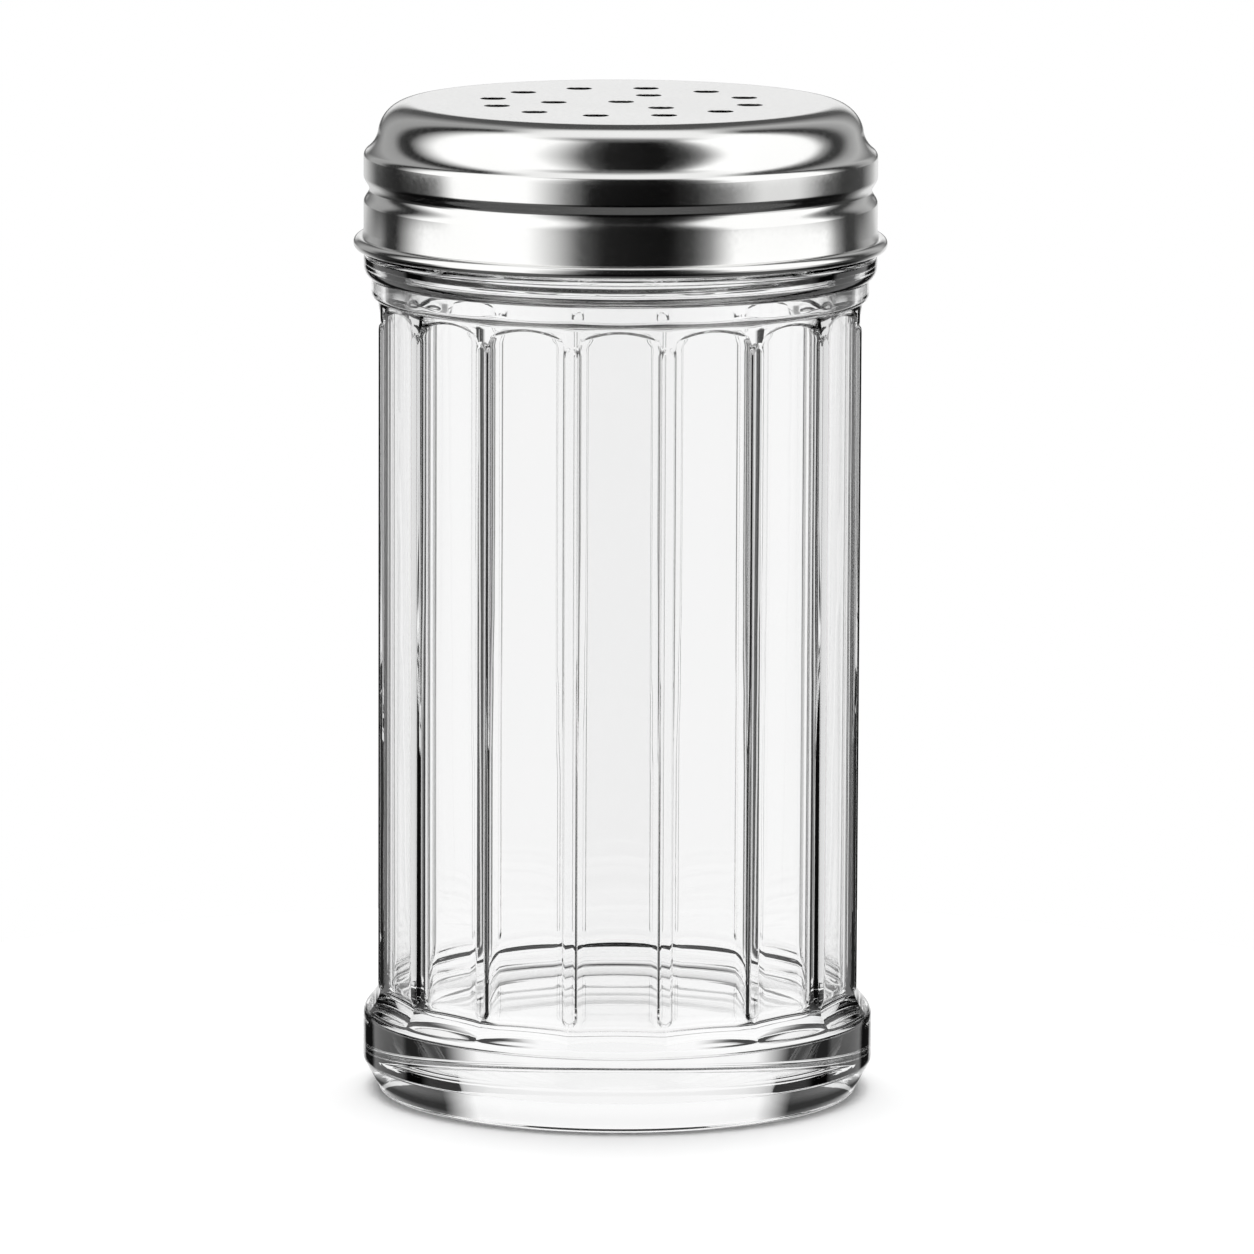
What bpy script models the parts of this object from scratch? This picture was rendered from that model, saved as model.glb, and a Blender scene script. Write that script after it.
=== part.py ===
"""Panelled glass spice jar with a perforated, screw-type steel lid.

Metres, +Z up. The jar stands on Z = 0 with its axis on Z, and one of its panels faces -Y.
Heights stack from the foot up, and radii step out or in from the flats of the panels, so each
size below can be changed by itself and the rest follows.
"""

import math

import bmesh
import bpy
from mathutils import Matrix, Vector

MM = 0.001

# Panels and ribs of the glass body
PANEL_COUNT = 16
BODY_ACROSS_FLATS = 70.4 * MM
PANEL_DEPTH = 0.65 * MM
ARCH_RISE = 1.4 * MM
ARCH_CORNER = 1.4 * MM
PANEL_EDGE_SLOPE = 0.7 * MM
PANEL_MARGIN = 0.35 * MM
BODY_HEIGHT = 104.35 * MM
RIB_RADIUS = 1.2 * MM
RIB_PROUD = 0.35 * MM
RIB_END_DROP = 2.5 * MM
RIB_END_ROUND = 0.68 * MM

# Foot and base ring of the glass
RING_OVERHANG = 2.15 * MM
RING_HEIGHT = 6.2 * MM
RING_TOP_ROUND = 2.3 * MM
LEDGE_TURN = math.radians(45)
RING_LOW_ROUND = 1.0 * MM
CHAMFER_HEIGHT = 4.4 * MM
FOOT_INSET = 2.35 * MM
FOOT_HEIGHT = 0.6 * MM
FOOT_ROUND = 0.5 * MM
BEARING_WIDTH = 6.0 * MM
PUSH_UP = 0.6 * MM
PUSH_UP_RAMP = 1.5 * MM

# Inside of the glass
WALL = 3.5 * MM
BASE_THICKNESS = 11.5 * MM
FLOOR_FILLET = 1.5 * MM
SHOULDER_RISE = 1.7 * MM
SHOULDER_HEIGHT = 0.5 * MM
SHOULDER_INSET = 0.35 * MM
NECK_TAPER = 6.0 * MM

# Collar steps, neck and rim of the glass
STEP_OVERHANG = 1.0 * MM
STEP_HEIGHT = 3.25 * MM
STEP_ROUND = 1.2 * MM
COLLAR_OVERHANG = 1.15 * MM
COLLAR_HEIGHT = 3.75 * MM
COLLAR_LOW_ROUND = 2.2 * MM
COLLAR_TOP_ROUND = 0.6 * MM
NECK_INSET = 3.5 * MM
NECK_FILLET = 0.8 * MM
NECK_WALL = 4.5 * MM
RIM_ROUND = 3.5 * MM

# Lid: drawn from one sheet
LID_SHEET = 0.4 * MM
LID_SIDE_GAP = 1.0 * MM
LID_SEAT_GAP = 0.3 * MM
LID_COLLAR_GAP = 0.55 * MM
BEAD_RADIUS = 0.95 * MM
BEAD_FILLET = 1.1 * MM
BEAD_TURN = math.radians(290)
SKIRT_HEIGHT = 3.9 * MM
RIDGE_OVERHANG = 2.1 * MM
RIDGE_HEIGHT = 3.5 * MM
RIDGE_ROUND = 2.3 * MM
RIDGE_TURN = math.radians(62)
GROOVE_WIDTH = 4.0 * MM
GROOVE_DEPTH = 0.85 * MM
CREASE_RISE = 0.4 * MM

# Holes in the lid's top: a count, a ring radius and a start angle for each ring
HOLE_DIAMETER = 3.8 * MM
INNER_RING_RADIUS = 10.0 * MM
OUTER_RING_RADIUS = 19.3 * MM
HOLE_RINGS = (
    (1, 0.0, 0.0),
    (3, INNER_RING_RADIUS, math.radians(66)),
    (12, OUTER_RING_RADIUS, math.radians(19)),
)

# Working allowances: how far cutters reach past a face, what merges, how round an edge may get
PANEL_CUTTER_REACH = 0.8 * MM
PUNCH_REACH = 0.6 * MM
MERGE_DISTANCE = 0.01 * MM
ROUND_SHARE = 0.9

# Facets
STEPS_PER_PANEL = 4
LID_STEPS = 56
ROUND_STEPS = 4
SMALL_ROUND_STEPS = 2
ARCH_STEPS = 6
RIB_SIDES = 10
HOLE_SIDES = 14
BEAD_STEPS = 8
SMOOTH_ANGLE = math.radians(35)

# Radii that follow from the sizes above
PANEL_RADIUS = BODY_ACROSS_FLATS / 2
LAND_RADIUS = PANEL_RADIUS + PANEL_DEPTH
RING_RADIUS = LAND_RADIUS + RING_OVERHANG
FOOT_RADIUS = RING_RADIUS - FOOT_INSET
STEP_RADIUS = LAND_RADIUS + STEP_OVERHANG
COLLAR_RADIUS = STEP_RADIUS + COLLAR_OVERHANG
NECK_RADIUS = COLLAR_RADIUS - NECK_INSET
CAVITY_RADIUS = PANEL_RADIUS - WALL
MOUTH_RADIUS = NECK_RADIUS - NECK_WALL
RIM_ROUND_FIT = min(RIM_ROUND, ROUND_SHARE * NECK_WALL)
SHOULDER_INNER = RIM_ROUND_FIT + LID_SIDE_GAP
DOME_RADIUS = NECK_RADIUS + LID_SIDE_GAP + LID_SHEET
RIDGE_RADIUS = DOME_RADIUS + RIDGE_OVERHANG
BEAD_CENTRE_RADIUS = RIDGE_RADIUS - LID_SHEET + BEAD_RADIUS

# Heights on the glass, from the foot up
RING_BOTTOM = FOOT_HEIGHT + CHAMFER_HEIGHT
RING_TOP = RING_BOTTOM + RING_HEIGHT
LEDGE_TOP = RING_TOP + RING_TOP_ROUND * math.sin(LEDGE_TURN) + (
    RING_OVERHANG - RING_TOP_ROUND * (1 - math.cos(LEDGE_TURN))
)
BODY_TOP = LEDGE_TOP + BODY_HEIGHT
STEP_TOP = BODY_TOP + STEP_HEIGHT
COLLAR_TOP = STEP_TOP + COLLAR_HEIGHT

# Heights on the lid, from its lowest edge up
LID_BOTTOM = COLLAR_TOP + LID_COLLAR_GAP
SKIRT_BOTTOM = 2 * BEAD_RADIUS + BEAD_FILLET
GROOVE_BOTTOM = SKIRT_BOTTOM + SKIRT_HEIGHT
GROOVE_TOP = GROOVE_BOTTOM + GROOVE_WIDTH
RIDGE_TOP = GROOVE_TOP + RIDGE_HEIGHT
CREASE = RIDGE_TOP + RIDGE_ROUND * math.sin(RIDGE_TURN) + CREASE_RISE
LID_INNER_TOP = CREASE + SHOULDER_INNER
LID_TOP = LID_INNER_TOP + LID_SHEET
RIM_TOP = LID_BOTTOM + LID_INNER_TOP - LID_SEAT_GAP


def clear_scene():
    """Removes every object, so the script can be run again."""
    for obj in list(bpy.data.objects):
        bpy.data.objects.remove(obj)


def make_collection(name):
    collection = bpy.data.collections.new(name)
    bpy.context.scene.collection.children.link(collection)
    return collection


def make_material(name, colour, roughness, metallic, transmission):
    material = bpy.data.materials.new(name)
    material.use_nodes = True
    shader = material.node_tree.nodes["Principled BSDF"]
    shader.inputs["Base Color"].default_value = (*colour, 1.0)
    shader.inputs["Roughness"].default_value = roughness
    shader.inputs["Metallic"].default_value = metallic
    shader.inputs["Transmission Weight"].default_value = transmission
    return material


def arc(radius_at, height_at, radius, start, end, steps=ROUND_STEPS):
    """Points of an arc in the (radius, height) plane, its angles measured from the outward axis."""
    angles = [start + (end - start) * step / steps for step in range(steps + 1)]
    return [(radius_at + radius * math.cos(a), height_at + radius * math.sin(a)) for a in angles]


def round_under(inner, outer, bottom, radius):
    """A rounded lower edge, from its outer side in to the smaller radius that it overhangs."""
    turn = math.acos(max(0.0, min(1.0, (inner - outer + radius) / radius)))
    return arc(outer - radius, bottom + radius * math.sin(turn), radius, 0.0, -turn)


def turned(name, profile, steps, collection):
    """A closed solid: a profile from axis to axis, run down its outer side and spun about Z."""
    mesh = bpy.data.meshes.new(name)
    edges = [(index, index + 1) for index in range(len(profile) - 1)]
    mesh.from_pydata([(radius, 0.0, height) for radius, height in profile], edges, [])
    obj = bpy.data.objects.new(name, mesh)
    collection.objects.link(obj)
    screw = obj.modifiers.new("Spin", "SCREW")
    screw.axis = "Z"
    screw.steps = steps
    screw.render_steps = steps
    screw.use_merge_vertices = True
    screw.merge_threshold = MERGE_DISTANCE
    return obj


def mesh_object(name, bm, collection):
    """An object that holds a finished bmesh."""
    mesh = bpy.data.meshes.new(name)
    bmesh.ops.recalc_face_normals(bm, faces=bm.faces)
    bm.to_mesh(mesh)
    bm.free()
    obj = bpy.data.objects.new(name, mesh)
    collection.objects.link(obj)
    return obj


def make_cutter(obj):
    obj.hide_render = True
    obj.display_type = "WIRE"


def combine(obj, operand, operation):
    """Adds an exact boolean with an operand that isn't part of the finished object."""
    make_cutter(operand)
    boolean = obj.modifiers.new(operand.name, "BOOLEAN")
    boolean.operation = operation
    boolean.solver = "EXACT"
    boolean.object = operand


def smooth(obj):
    """Bakes the modifiers into the mesh and shades its round faces smooth."""
    bpy.context.view_layer.update()
    evaluated = obj.evaluated_get(bpy.context.evaluated_depsgraph_get())
    mesh = bpy.data.meshes.new_from_object(evaluated)
    obj.modifiers.clear()
    obj.data = mesh
    mesh.name = obj.name
    mesh.shade_smooth()
    mesh.set_sharp_from_angle(angle=SMOOTH_ANGLE)


def jar_profile():
    """The glass in section: up the inside from the floor, over the rim and down the outside."""
    inner_round = NECK_WALL - RIM_ROUND_FIT
    right = math.pi / 2
    chamfer_turn = math.atan2(FOOT_INSET, CHAMFER_HEIGHT)
    bearing_inner = FOOT_RADIUS - FOOT_ROUND - BEARING_WIDTH

    profile = [(0.0, BASE_THICKNESS)]
    profile += arc(CAVITY_RADIUS - FLOOR_FILLET, BASE_THICKNESS + FLOOR_FILLET, FLOOR_FILLET, -right, 0.0)
    profile += [(CAVITY_RADIUS, STEP_TOP + SHOULDER_RISE),
                (CAVITY_RADIUS - SHOULDER_INSET, STEP_TOP + SHOULDER_RISE + SHOULDER_HEIGHT),
                (MOUTH_RADIUS, COLLAR_TOP + NECK_TAPER)]
    profile += arc(MOUTH_RADIUS + inner_round, RIM_TOP - inner_round, inner_round, math.pi, right,
                   SMALL_ROUND_STEPS)
    profile += arc(NECK_RADIUS - RIM_ROUND_FIT, RIM_TOP - RIM_ROUND_FIT, RIM_ROUND_FIT, right, 0.0)[1:]
    profile += arc(NECK_RADIUS + NECK_FILLET, COLLAR_TOP + NECK_FILLET, NECK_FILLET, math.pi, 3 * right,
                   SMALL_ROUND_STEPS)
    profile += arc(COLLAR_RADIUS - COLLAR_TOP_ROUND, COLLAR_TOP - COLLAR_TOP_ROUND, COLLAR_TOP_ROUND,
                   right, 0.0, SMALL_ROUND_STEPS)
    profile += round_under(STEP_RADIUS, COLLAR_RADIUS, STEP_TOP, COLLAR_LOW_ROUND)
    profile += round_under(LAND_RADIUS, STEP_RADIUS, BODY_TOP, STEP_ROUND)
    profile += [(LAND_RADIUS, LEDGE_TOP)]
    profile += arc(RING_RADIUS - RING_TOP_ROUND, RING_TOP, RING_TOP_ROUND, LEDGE_TURN, 0.0)
    profile += arc(RING_RADIUS - RING_LOW_ROUND, RING_BOTTOM, RING_LOW_ROUND, 0.0, -chamfer_turn,
                   SMALL_ROUND_STEPS)
    profile += [(FOOT_RADIUS, FOOT_HEIGHT)]
    profile += arc(FOOT_RADIUS - FOOT_ROUND, FOOT_ROUND, FOOT_ROUND, 0.0, -right, SMALL_ROUND_STEPS)
    profile += [(bearing_inner, 0.0), (bearing_inner - PUSH_UP_RAMP, PUSH_UP), (0.0, PUSH_UP)]
    return profile


def panel_outline(half_width, bottom, top):
    """Half-arched outline of one panel, as points (across, up), with its arch from corner to corner."""
    arch_radius = (half_width**2 + ARCH_RISE**2) / (2 * ARCH_RISE)
    half_angle = math.asin(half_width / arch_radius)
    angles = [half_angle * (1 - 2 * step / ARCH_STEPS) for step in range(ARCH_STEPS + 1)]
    arch = [(arch_radius * math.sin(a), top - arch_radius * (1 - math.cos(a))) for a in angles]
    return [(-half_width, bottom), (half_width, bottom)] + arch


def copy_around(bm, count):
    """Copies all that the mesh holds evenly around the axis."""
    geometry = list(bm.verts) + list(bm.edges) + list(bm.faces)
    bmesh.ops.spin(bm, geom=geometry, cent=(0.0, 0.0, 0.0), axis=(0.0, 0.0, 1.0),
                   angle=2 * math.pi * (count - 1) / count, steps=count - 1, use_duplicate=True)


def panel_cutters(collection):
    """One tapered, arch-topped block for each panel, all in one mesh."""
    half_width = PANEL_RADIUS * math.tan(math.pi / PANEL_COUNT) - RIB_RADIUS / 2
    reach = PANEL_DEPTH + PANEL_CUTTER_REACH
    slope = PANEL_EDGE_SLOPE * reach / PANEL_DEPTH
    bottom = LEDGE_TOP + PANEL_MARGIN + PANEL_EDGE_SLOPE
    top = BODY_TOP - PANEL_MARGIN - PANEL_EDGE_SLOPE
    bm = bmesh.new()
    outline = panel_outline(half_width, bottom, top)
    verts = [bm.verts.new((across, -PANEL_RADIUS, up)) for across, up in outline]
    bm.faces.new(verts)
    bmesh.ops.bevel(bm, geom=[verts[2], verts[-1]], offset=ARCH_CORNER, segments=SMALL_ROUND_STEPS,
                    profile=0.5, affect="VERTICES")
    extruded = bmesh.ops.extrude_face_region(bm, geom=list(bm.faces), use_keep_orig=True)
    for vert in extruded["geom"]:
        if isinstance(vert, bmesh.types.BMVert):
            vert.co.y -= reach
            vert.co.z += math.copysign(slope, vert.co.z - (bottom + top) / 2)
    copy_around(bm, PANEL_COUNT)
    return mesh_object("panel_cutters", bm, collection)


def rib_rods(collection):
    """One round-ended rod for each rib, standing where two panels meet and sunk in the wall."""
    angle = math.pi / PANEL_COUNT - math.pi / 2
    radius = LAND_RADIUS + RIB_PROUD - RIB_RADIUS
    bottom = RING_TOP
    top = BODY_TOP - RIB_END_DROP
    centre = (radius * math.cos(angle), radius * math.sin(angle), (bottom + top) / 2)
    bm = bmesh.new()
    bmesh.ops.create_cone(bm, cap_ends=True, segments=RIB_SIDES, radius1=RIB_RADIUS, radius2=RIB_RADIUS,
                          depth=top - bottom, matrix=Matrix.Translation(centre))
    upper_rim = [edge for edge in bm.edges if min(vert.co.z for vert in edge.verts) > centre[2]]
    end_round = min(RIB_END_ROUND, ROUND_SHARE * RIB_RADIUS)
    bmesh.ops.bevel(bm, geom=upper_rim, offset=end_round, segments=SMALL_ROUND_STEPS, profile=0.5,
                    affect="EDGES")
    copy_around(bm, PANEL_COUNT)
    return mesh_object("rib_rods", bm, collection)


def lid_outside():
    """The lid's outer face in section, from the axis down to the bead, above its lowest edge."""
    right = math.pi / 2
    groove_steps = 2 * ROUND_STEPS
    shoulder = arc(DOME_RADIUS - SHOULDER_INNER - LID_SHEET, CREASE, SHOULDER_INNER + LID_SHEET, right, 0.0)
    ridge = arc(RIDGE_RADIUS - RIDGE_ROUND, RIDGE_TOP, RIDGE_ROUND, RIDGE_TURN, 0.0)
    groove = []
    for step in range(groove_steps + 1):
        share = step / groove_steps
        depth = GROOVE_DEPTH * (1 - math.cos(2 * math.pi * share)) / 2
        groove.append((RIDGE_RADIUS - depth, GROOVE_TOP - GROOVE_WIDTH * share))
    return [(0.0, LID_TOP)] + shoulder + ridge + groove + [(RIDGE_RADIUS, SKIRT_BOTTOM)]


def offset_in(points, distance):
    """The same line moved inwards by the sheet's thickness, square to its run at each point."""
    moved = []
    for index, point in enumerate(points):
        before = points[max(index - 1, 0)]
        after = points[min(index + 1, len(points) - 1)]
        along = Vector((after[0] - before[0], after[1] - before[1])).normalized()
        moved.append((point[0] + along.y * distance, point[1] - along.x * distance))
    return moved


def lid_profile():
    """The lid in section: down the outside, round the rolled bead and up the inside."""
    outside = lid_outside()
    inside = offset_in(outside, LID_SHEET)
    inside[0] = (0.0, LID_INNER_TOP)
    bead = arc(BEAD_CENTRE_RADIUS, BEAD_RADIUS, BEAD_RADIUS, BEAD_TURN - math.pi, -math.pi, BEAD_STEPS)
    return outside + bead + inside[::-1]


def hole_punches(collection):
    """A round punch for each hole in the lid's top."""
    bm = bmesh.new()
    radius = HOLE_DIAMETER / 2
    height = LID_SHEET + 2 * PUNCH_REACH
    centre_z = LID_BOTTOM + LID_TOP - LID_SHEET / 2
    for count, ring_radius, start in HOLE_RINGS:
        for index in range(count):
            angle = start + 2 * math.pi * index / count
            centre = (ring_radius * math.cos(angle), ring_radius * math.sin(angle), centre_z)
            bmesh.ops.create_cone(bm, cap_ends=True, segments=HOLE_SIDES, radius1=radius, radius2=radius,
                                  depth=height, matrix=Matrix.Translation(centre))
    return mesh_object("hole_punches", bm, collection)


def make_jar(parts, cutters):
    """The pressed-glass jar: turned, cut to flats and given its ribs."""
    jar = turned("glass_jar", jar_profile(), STEPS_PER_PANEL * PANEL_COUNT, parts)
    combine(jar, panel_cutters(cutters), "DIFFERENCE")
    combine(jar, rib_rods(cutters), "UNION")
    smooth(jar)
    jar.data.materials.clear()
    glass = make_material("clear_glass", colour=(0.96, 0.98, 0.98), roughness=0.02, metallic=0.0,
                          transmission=1.0)
    jar.data.materials.append(glass)


def make_lid(parts, cutters):
    """The drawn steel lid, its origin on the jar's axis at its lowest edge."""
    lid = turned("perforated_lid", lid_profile(), LID_STEPS, parts)
    lid.location = (0.0, 0.0, LID_BOTTOM)
    combine(lid, hole_punches(cutters), "DIFFERENCE")
    smooth(lid)
    lid.data.materials.clear()
    steel = make_material("polished_steel", colour=(0.78, 0.78, 0.77), roughness=0.12, metallic=1.0,
                          transmission=0.0)
    lid.data.materials.append(steel)


def main():
    clear_scene()
    parts = make_collection("spice_jar")
    cutters = make_collection("cutters")
    make_jar(parts, cutters)
    make_lid(parts, cutters)


main()
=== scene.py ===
"""Panelled glass spice jar with a perforated steel lid, dressed for its picture.

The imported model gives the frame. The glass and the lid are modelled again in fine meshes at the same sizes,
with the screw thread on the neck, and stand on a white stage in front of the camera.
"""

import math
from types import SimpleNamespace

import bpy
from mathutils import Matrix, Vector


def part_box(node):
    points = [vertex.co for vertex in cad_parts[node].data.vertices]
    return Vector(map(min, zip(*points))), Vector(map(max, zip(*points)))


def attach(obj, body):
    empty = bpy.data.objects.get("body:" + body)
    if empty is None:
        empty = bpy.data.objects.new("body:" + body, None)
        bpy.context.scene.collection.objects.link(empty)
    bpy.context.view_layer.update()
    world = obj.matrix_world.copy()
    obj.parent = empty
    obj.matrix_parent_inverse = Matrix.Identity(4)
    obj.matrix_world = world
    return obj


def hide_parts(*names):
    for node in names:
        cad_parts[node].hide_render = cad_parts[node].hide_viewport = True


bl_info = {
    "name": "Panelled Spice Jar",
    "version": (1, 0, 0),
    "blender": (4, 5, 0),
    "location": "3D View > Sidebar > Spice Jar",
    "description": "Models a panelled glass spice jar with a perforated steel lid",
    "category": "Add Mesh",
}

MM = 0.001
FULL_TURN = 2 * math.pi
RIGHT_ANGLE = math.pi / 2

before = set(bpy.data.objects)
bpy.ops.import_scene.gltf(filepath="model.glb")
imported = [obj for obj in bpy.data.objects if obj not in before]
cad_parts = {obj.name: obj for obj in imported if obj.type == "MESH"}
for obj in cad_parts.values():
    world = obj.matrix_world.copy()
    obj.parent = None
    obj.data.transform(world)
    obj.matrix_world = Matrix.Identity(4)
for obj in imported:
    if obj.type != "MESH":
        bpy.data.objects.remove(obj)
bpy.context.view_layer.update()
JAR_LOW, JAR_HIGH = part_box("glass_jar")
LID_LOW, LID_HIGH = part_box("perforated_lid")

# Points closer than the first are merged, and closer than the second count as on a line
MERGE = 0.002 * MM
NEAR = 0.01 * MM

# Columns of the glass mesh across half a panel and half a rib, and the margin of the rib's columns
PANEL_COLUMNS = 5
RIB_COLUMNS = 9
RIB_MARGIN = 0.1 * MM

# Zones of the glass mesh: depths below the crown of an arch, and the height above the base ledge
ARCH_EDGE = 1.05 * MM
ARCH_CORNERS = 3.6 * MM
ARCH_REACH = 7.0 * MM
ARCH_FADE = 4.0 * MM
FOOT_REACH = 3.6 * MM

# Spacing of the rows of the glass mesh
SOFT_ROWS = 0.3 * MM
THREAD_ROWS = 0.35 * MM
MARGIN_ROWS = 0.18 * MM
ARCH_ROWS = 0.15 * MM
CORNER_ROWS = 0.25 * MM
RIB_ROWS = 0.9 * MM
PLAIN_ROWS = 12.0 * MM

# How sharp the thread's crest is, where 1 is a plain wave, and the turn in which each end fades out
THREAD_SHARPNESS = 1.2
THREAD_FADE = math.radians(40)

# Columns of the lid's mesh and of one hole, and the rings of points in its top, inwards of the shoulder
LID_COLUMNS = 192
HOLE_COLUMNS = 40
TOP_RINGS = (6.0 * MM, 0.6 * MM)

# The lid's holes: how many lie in each ring, and how deep the punch goes
INNER_HOLES = 3
OUTER_HOLES = 12
PUNCH_DEPTH = 2.0 * MM

# Where the rolled bead leaves the skirt
BEAD_START = math.radians(110)

# Depths below the lid's top between which the walls of the holes get painted shade, and how far out the holes
# reach
HOLE_WALL_TOP = (0.06 * MM, 0.12 * MM)
HOLE_WALL_END = (0.36 * MM, 0.385 * MM)
HOLE_FIELD = (26.0 * MM, 28.0 * MM)

# The floor: white in the glass, with a painted shadow as a dark ring round the foot, as far as it hides the
# tent, and its level in the steel, a painted dark reflection
SHADOW_RING_INNER = (36.0 * MM, 36.6 * MM)
SHADOW_RING_OUTER = (37.4 * MM, 39.0 * MM)
PAINTED_SHADOW_LEVEL = 0.1
FLOOR_END = (46.0 * MM, 50.0 * MM)
PAINTED_DARK_FLOOR_IN_STEEL = 0.1

# The tent as the steel mirrors it, below and above the horizon: degrees to the camera's right, and a level
STEEL_LOW = (
    (-180, 0.75), (-162, 0.65), (-152, 0.4), (-142, 0.1), (-130, 0.04), (-118, 0.02), (-98, 0.07),
    (-90, 0.25), (-80, 1.2), (-42, 1.2), (-24, 0.25), (-14, 0.008), (22, 0.004), (34, 0.03), (50, 0.24),
    (66, 0.85), (86, 0.85), (104, 0.13), (118, 0.045), (138, 0.07), (152, 0.45), (162, 0.8), (180, 0.85),
)
STEEL_HIGH = (
    (-180, 0.08), (-166, 0.1), (-150, 0.4), (-136, 0.35), (-128, 0.05), (-119, 0.015), (-111, 0.4),
    (-98, 1.2), (-42, 1.2), (-30, 0.7), (-18, 0.1), (-8, 0.015), (22, 0.006), (32, 0.06), (40, 0.28),
    (52, 1.2), (104, 1.2), (112, 0.35), (120, 0.04), (128, 0.05), (138, 0.35), (150, 0.5), (166, 0.1),
    (180, 0.08),
)

# The tent as the glass shows it: white backdrop and sides between black flags, in three heights
GLASS_LOW = (
    (-167, 1.0), (-161, 0.02), (-147, 0.02), (-142, 0.8), (-114, 0.8), (-110, 0.02), (-100, 0.02),
    (-94, 0.7), (-60, 0.7), (-40, 0.38), (-26, 0.08), (26, 0.08), (40, 0.38), (60, 0.7), (94, 0.7),
    (100, 0.02), (110, 0.02), (114, 0.8), (142, 0.8), (147, 0.02), (161, 0.02), (167, 1.0),
)
GLASS_MIDDLE = (
    (-156, 1.0), (-148, 0.02), (-110, 0.02), (-104, 1.0), (-48, 1.0), (-30, 0.08), (30, 0.08), (48, 1.0),
    (104, 1.0), (110, 0.02), (148, 0.02), (156, 1.0),
)
GLASS_HIGH = ((-48, 1.0), (-30, 0.08), (30, 0.08), (48, 1.0))

# Where one part of the tent gives way to the next, as the sine of the angle above the horizon
STEEL_FLOOR_ENDS = (-0.45, -0.3)
STEEL_FLOOR_LEVEL = 0.1
STEEL_HIGH_STARTS = (-0.07, -0.01)
STEEL_TOP_STARTS = (0.86, 0.94)
GLASS_MIDDLE_STARTS = (-0.01, 0.03)
GLASS_HIGH_STARTS = (0.3, 0.36)
GLASS_TOP_STARTS = (0.955, 0.975)

# The dimmer front of the tent's roof, and the pale window behind the jar that the lid's flat top mirrors
ROOF_FRONT = (-0.3, -0.1)
ROOF_FRONT_LEVEL = 0.16
WINDOW_SIDE = (0.95, 0.985)
WINDOW_SILL = (0.02, 0.08)
WINDOW_LEVEL = 0.93


def length(name, description, millimetres):
    """A property that holds a length, given in millimetres."""
    return bpy.props.FloatProperty(
        name=name, description=description, default=millimetres * MM, unit="LENGTH", precision=5
    )


def angle(name, description, degrees):
    """A property that holds an angle, given in degrees."""
    return bpy.props.FloatProperty(
        name=name, description=description, default=math.radians(degrees), subtype="ANGLE"
    )


def colour(name, description, red, green, blue):
    """A property that holds a colour."""
    return bpy.props.FloatVectorProperty(
        name=name, description=description, default=(red, green, blue), subtype="COLOR", min=0.0, max=1.0
    )


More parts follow.
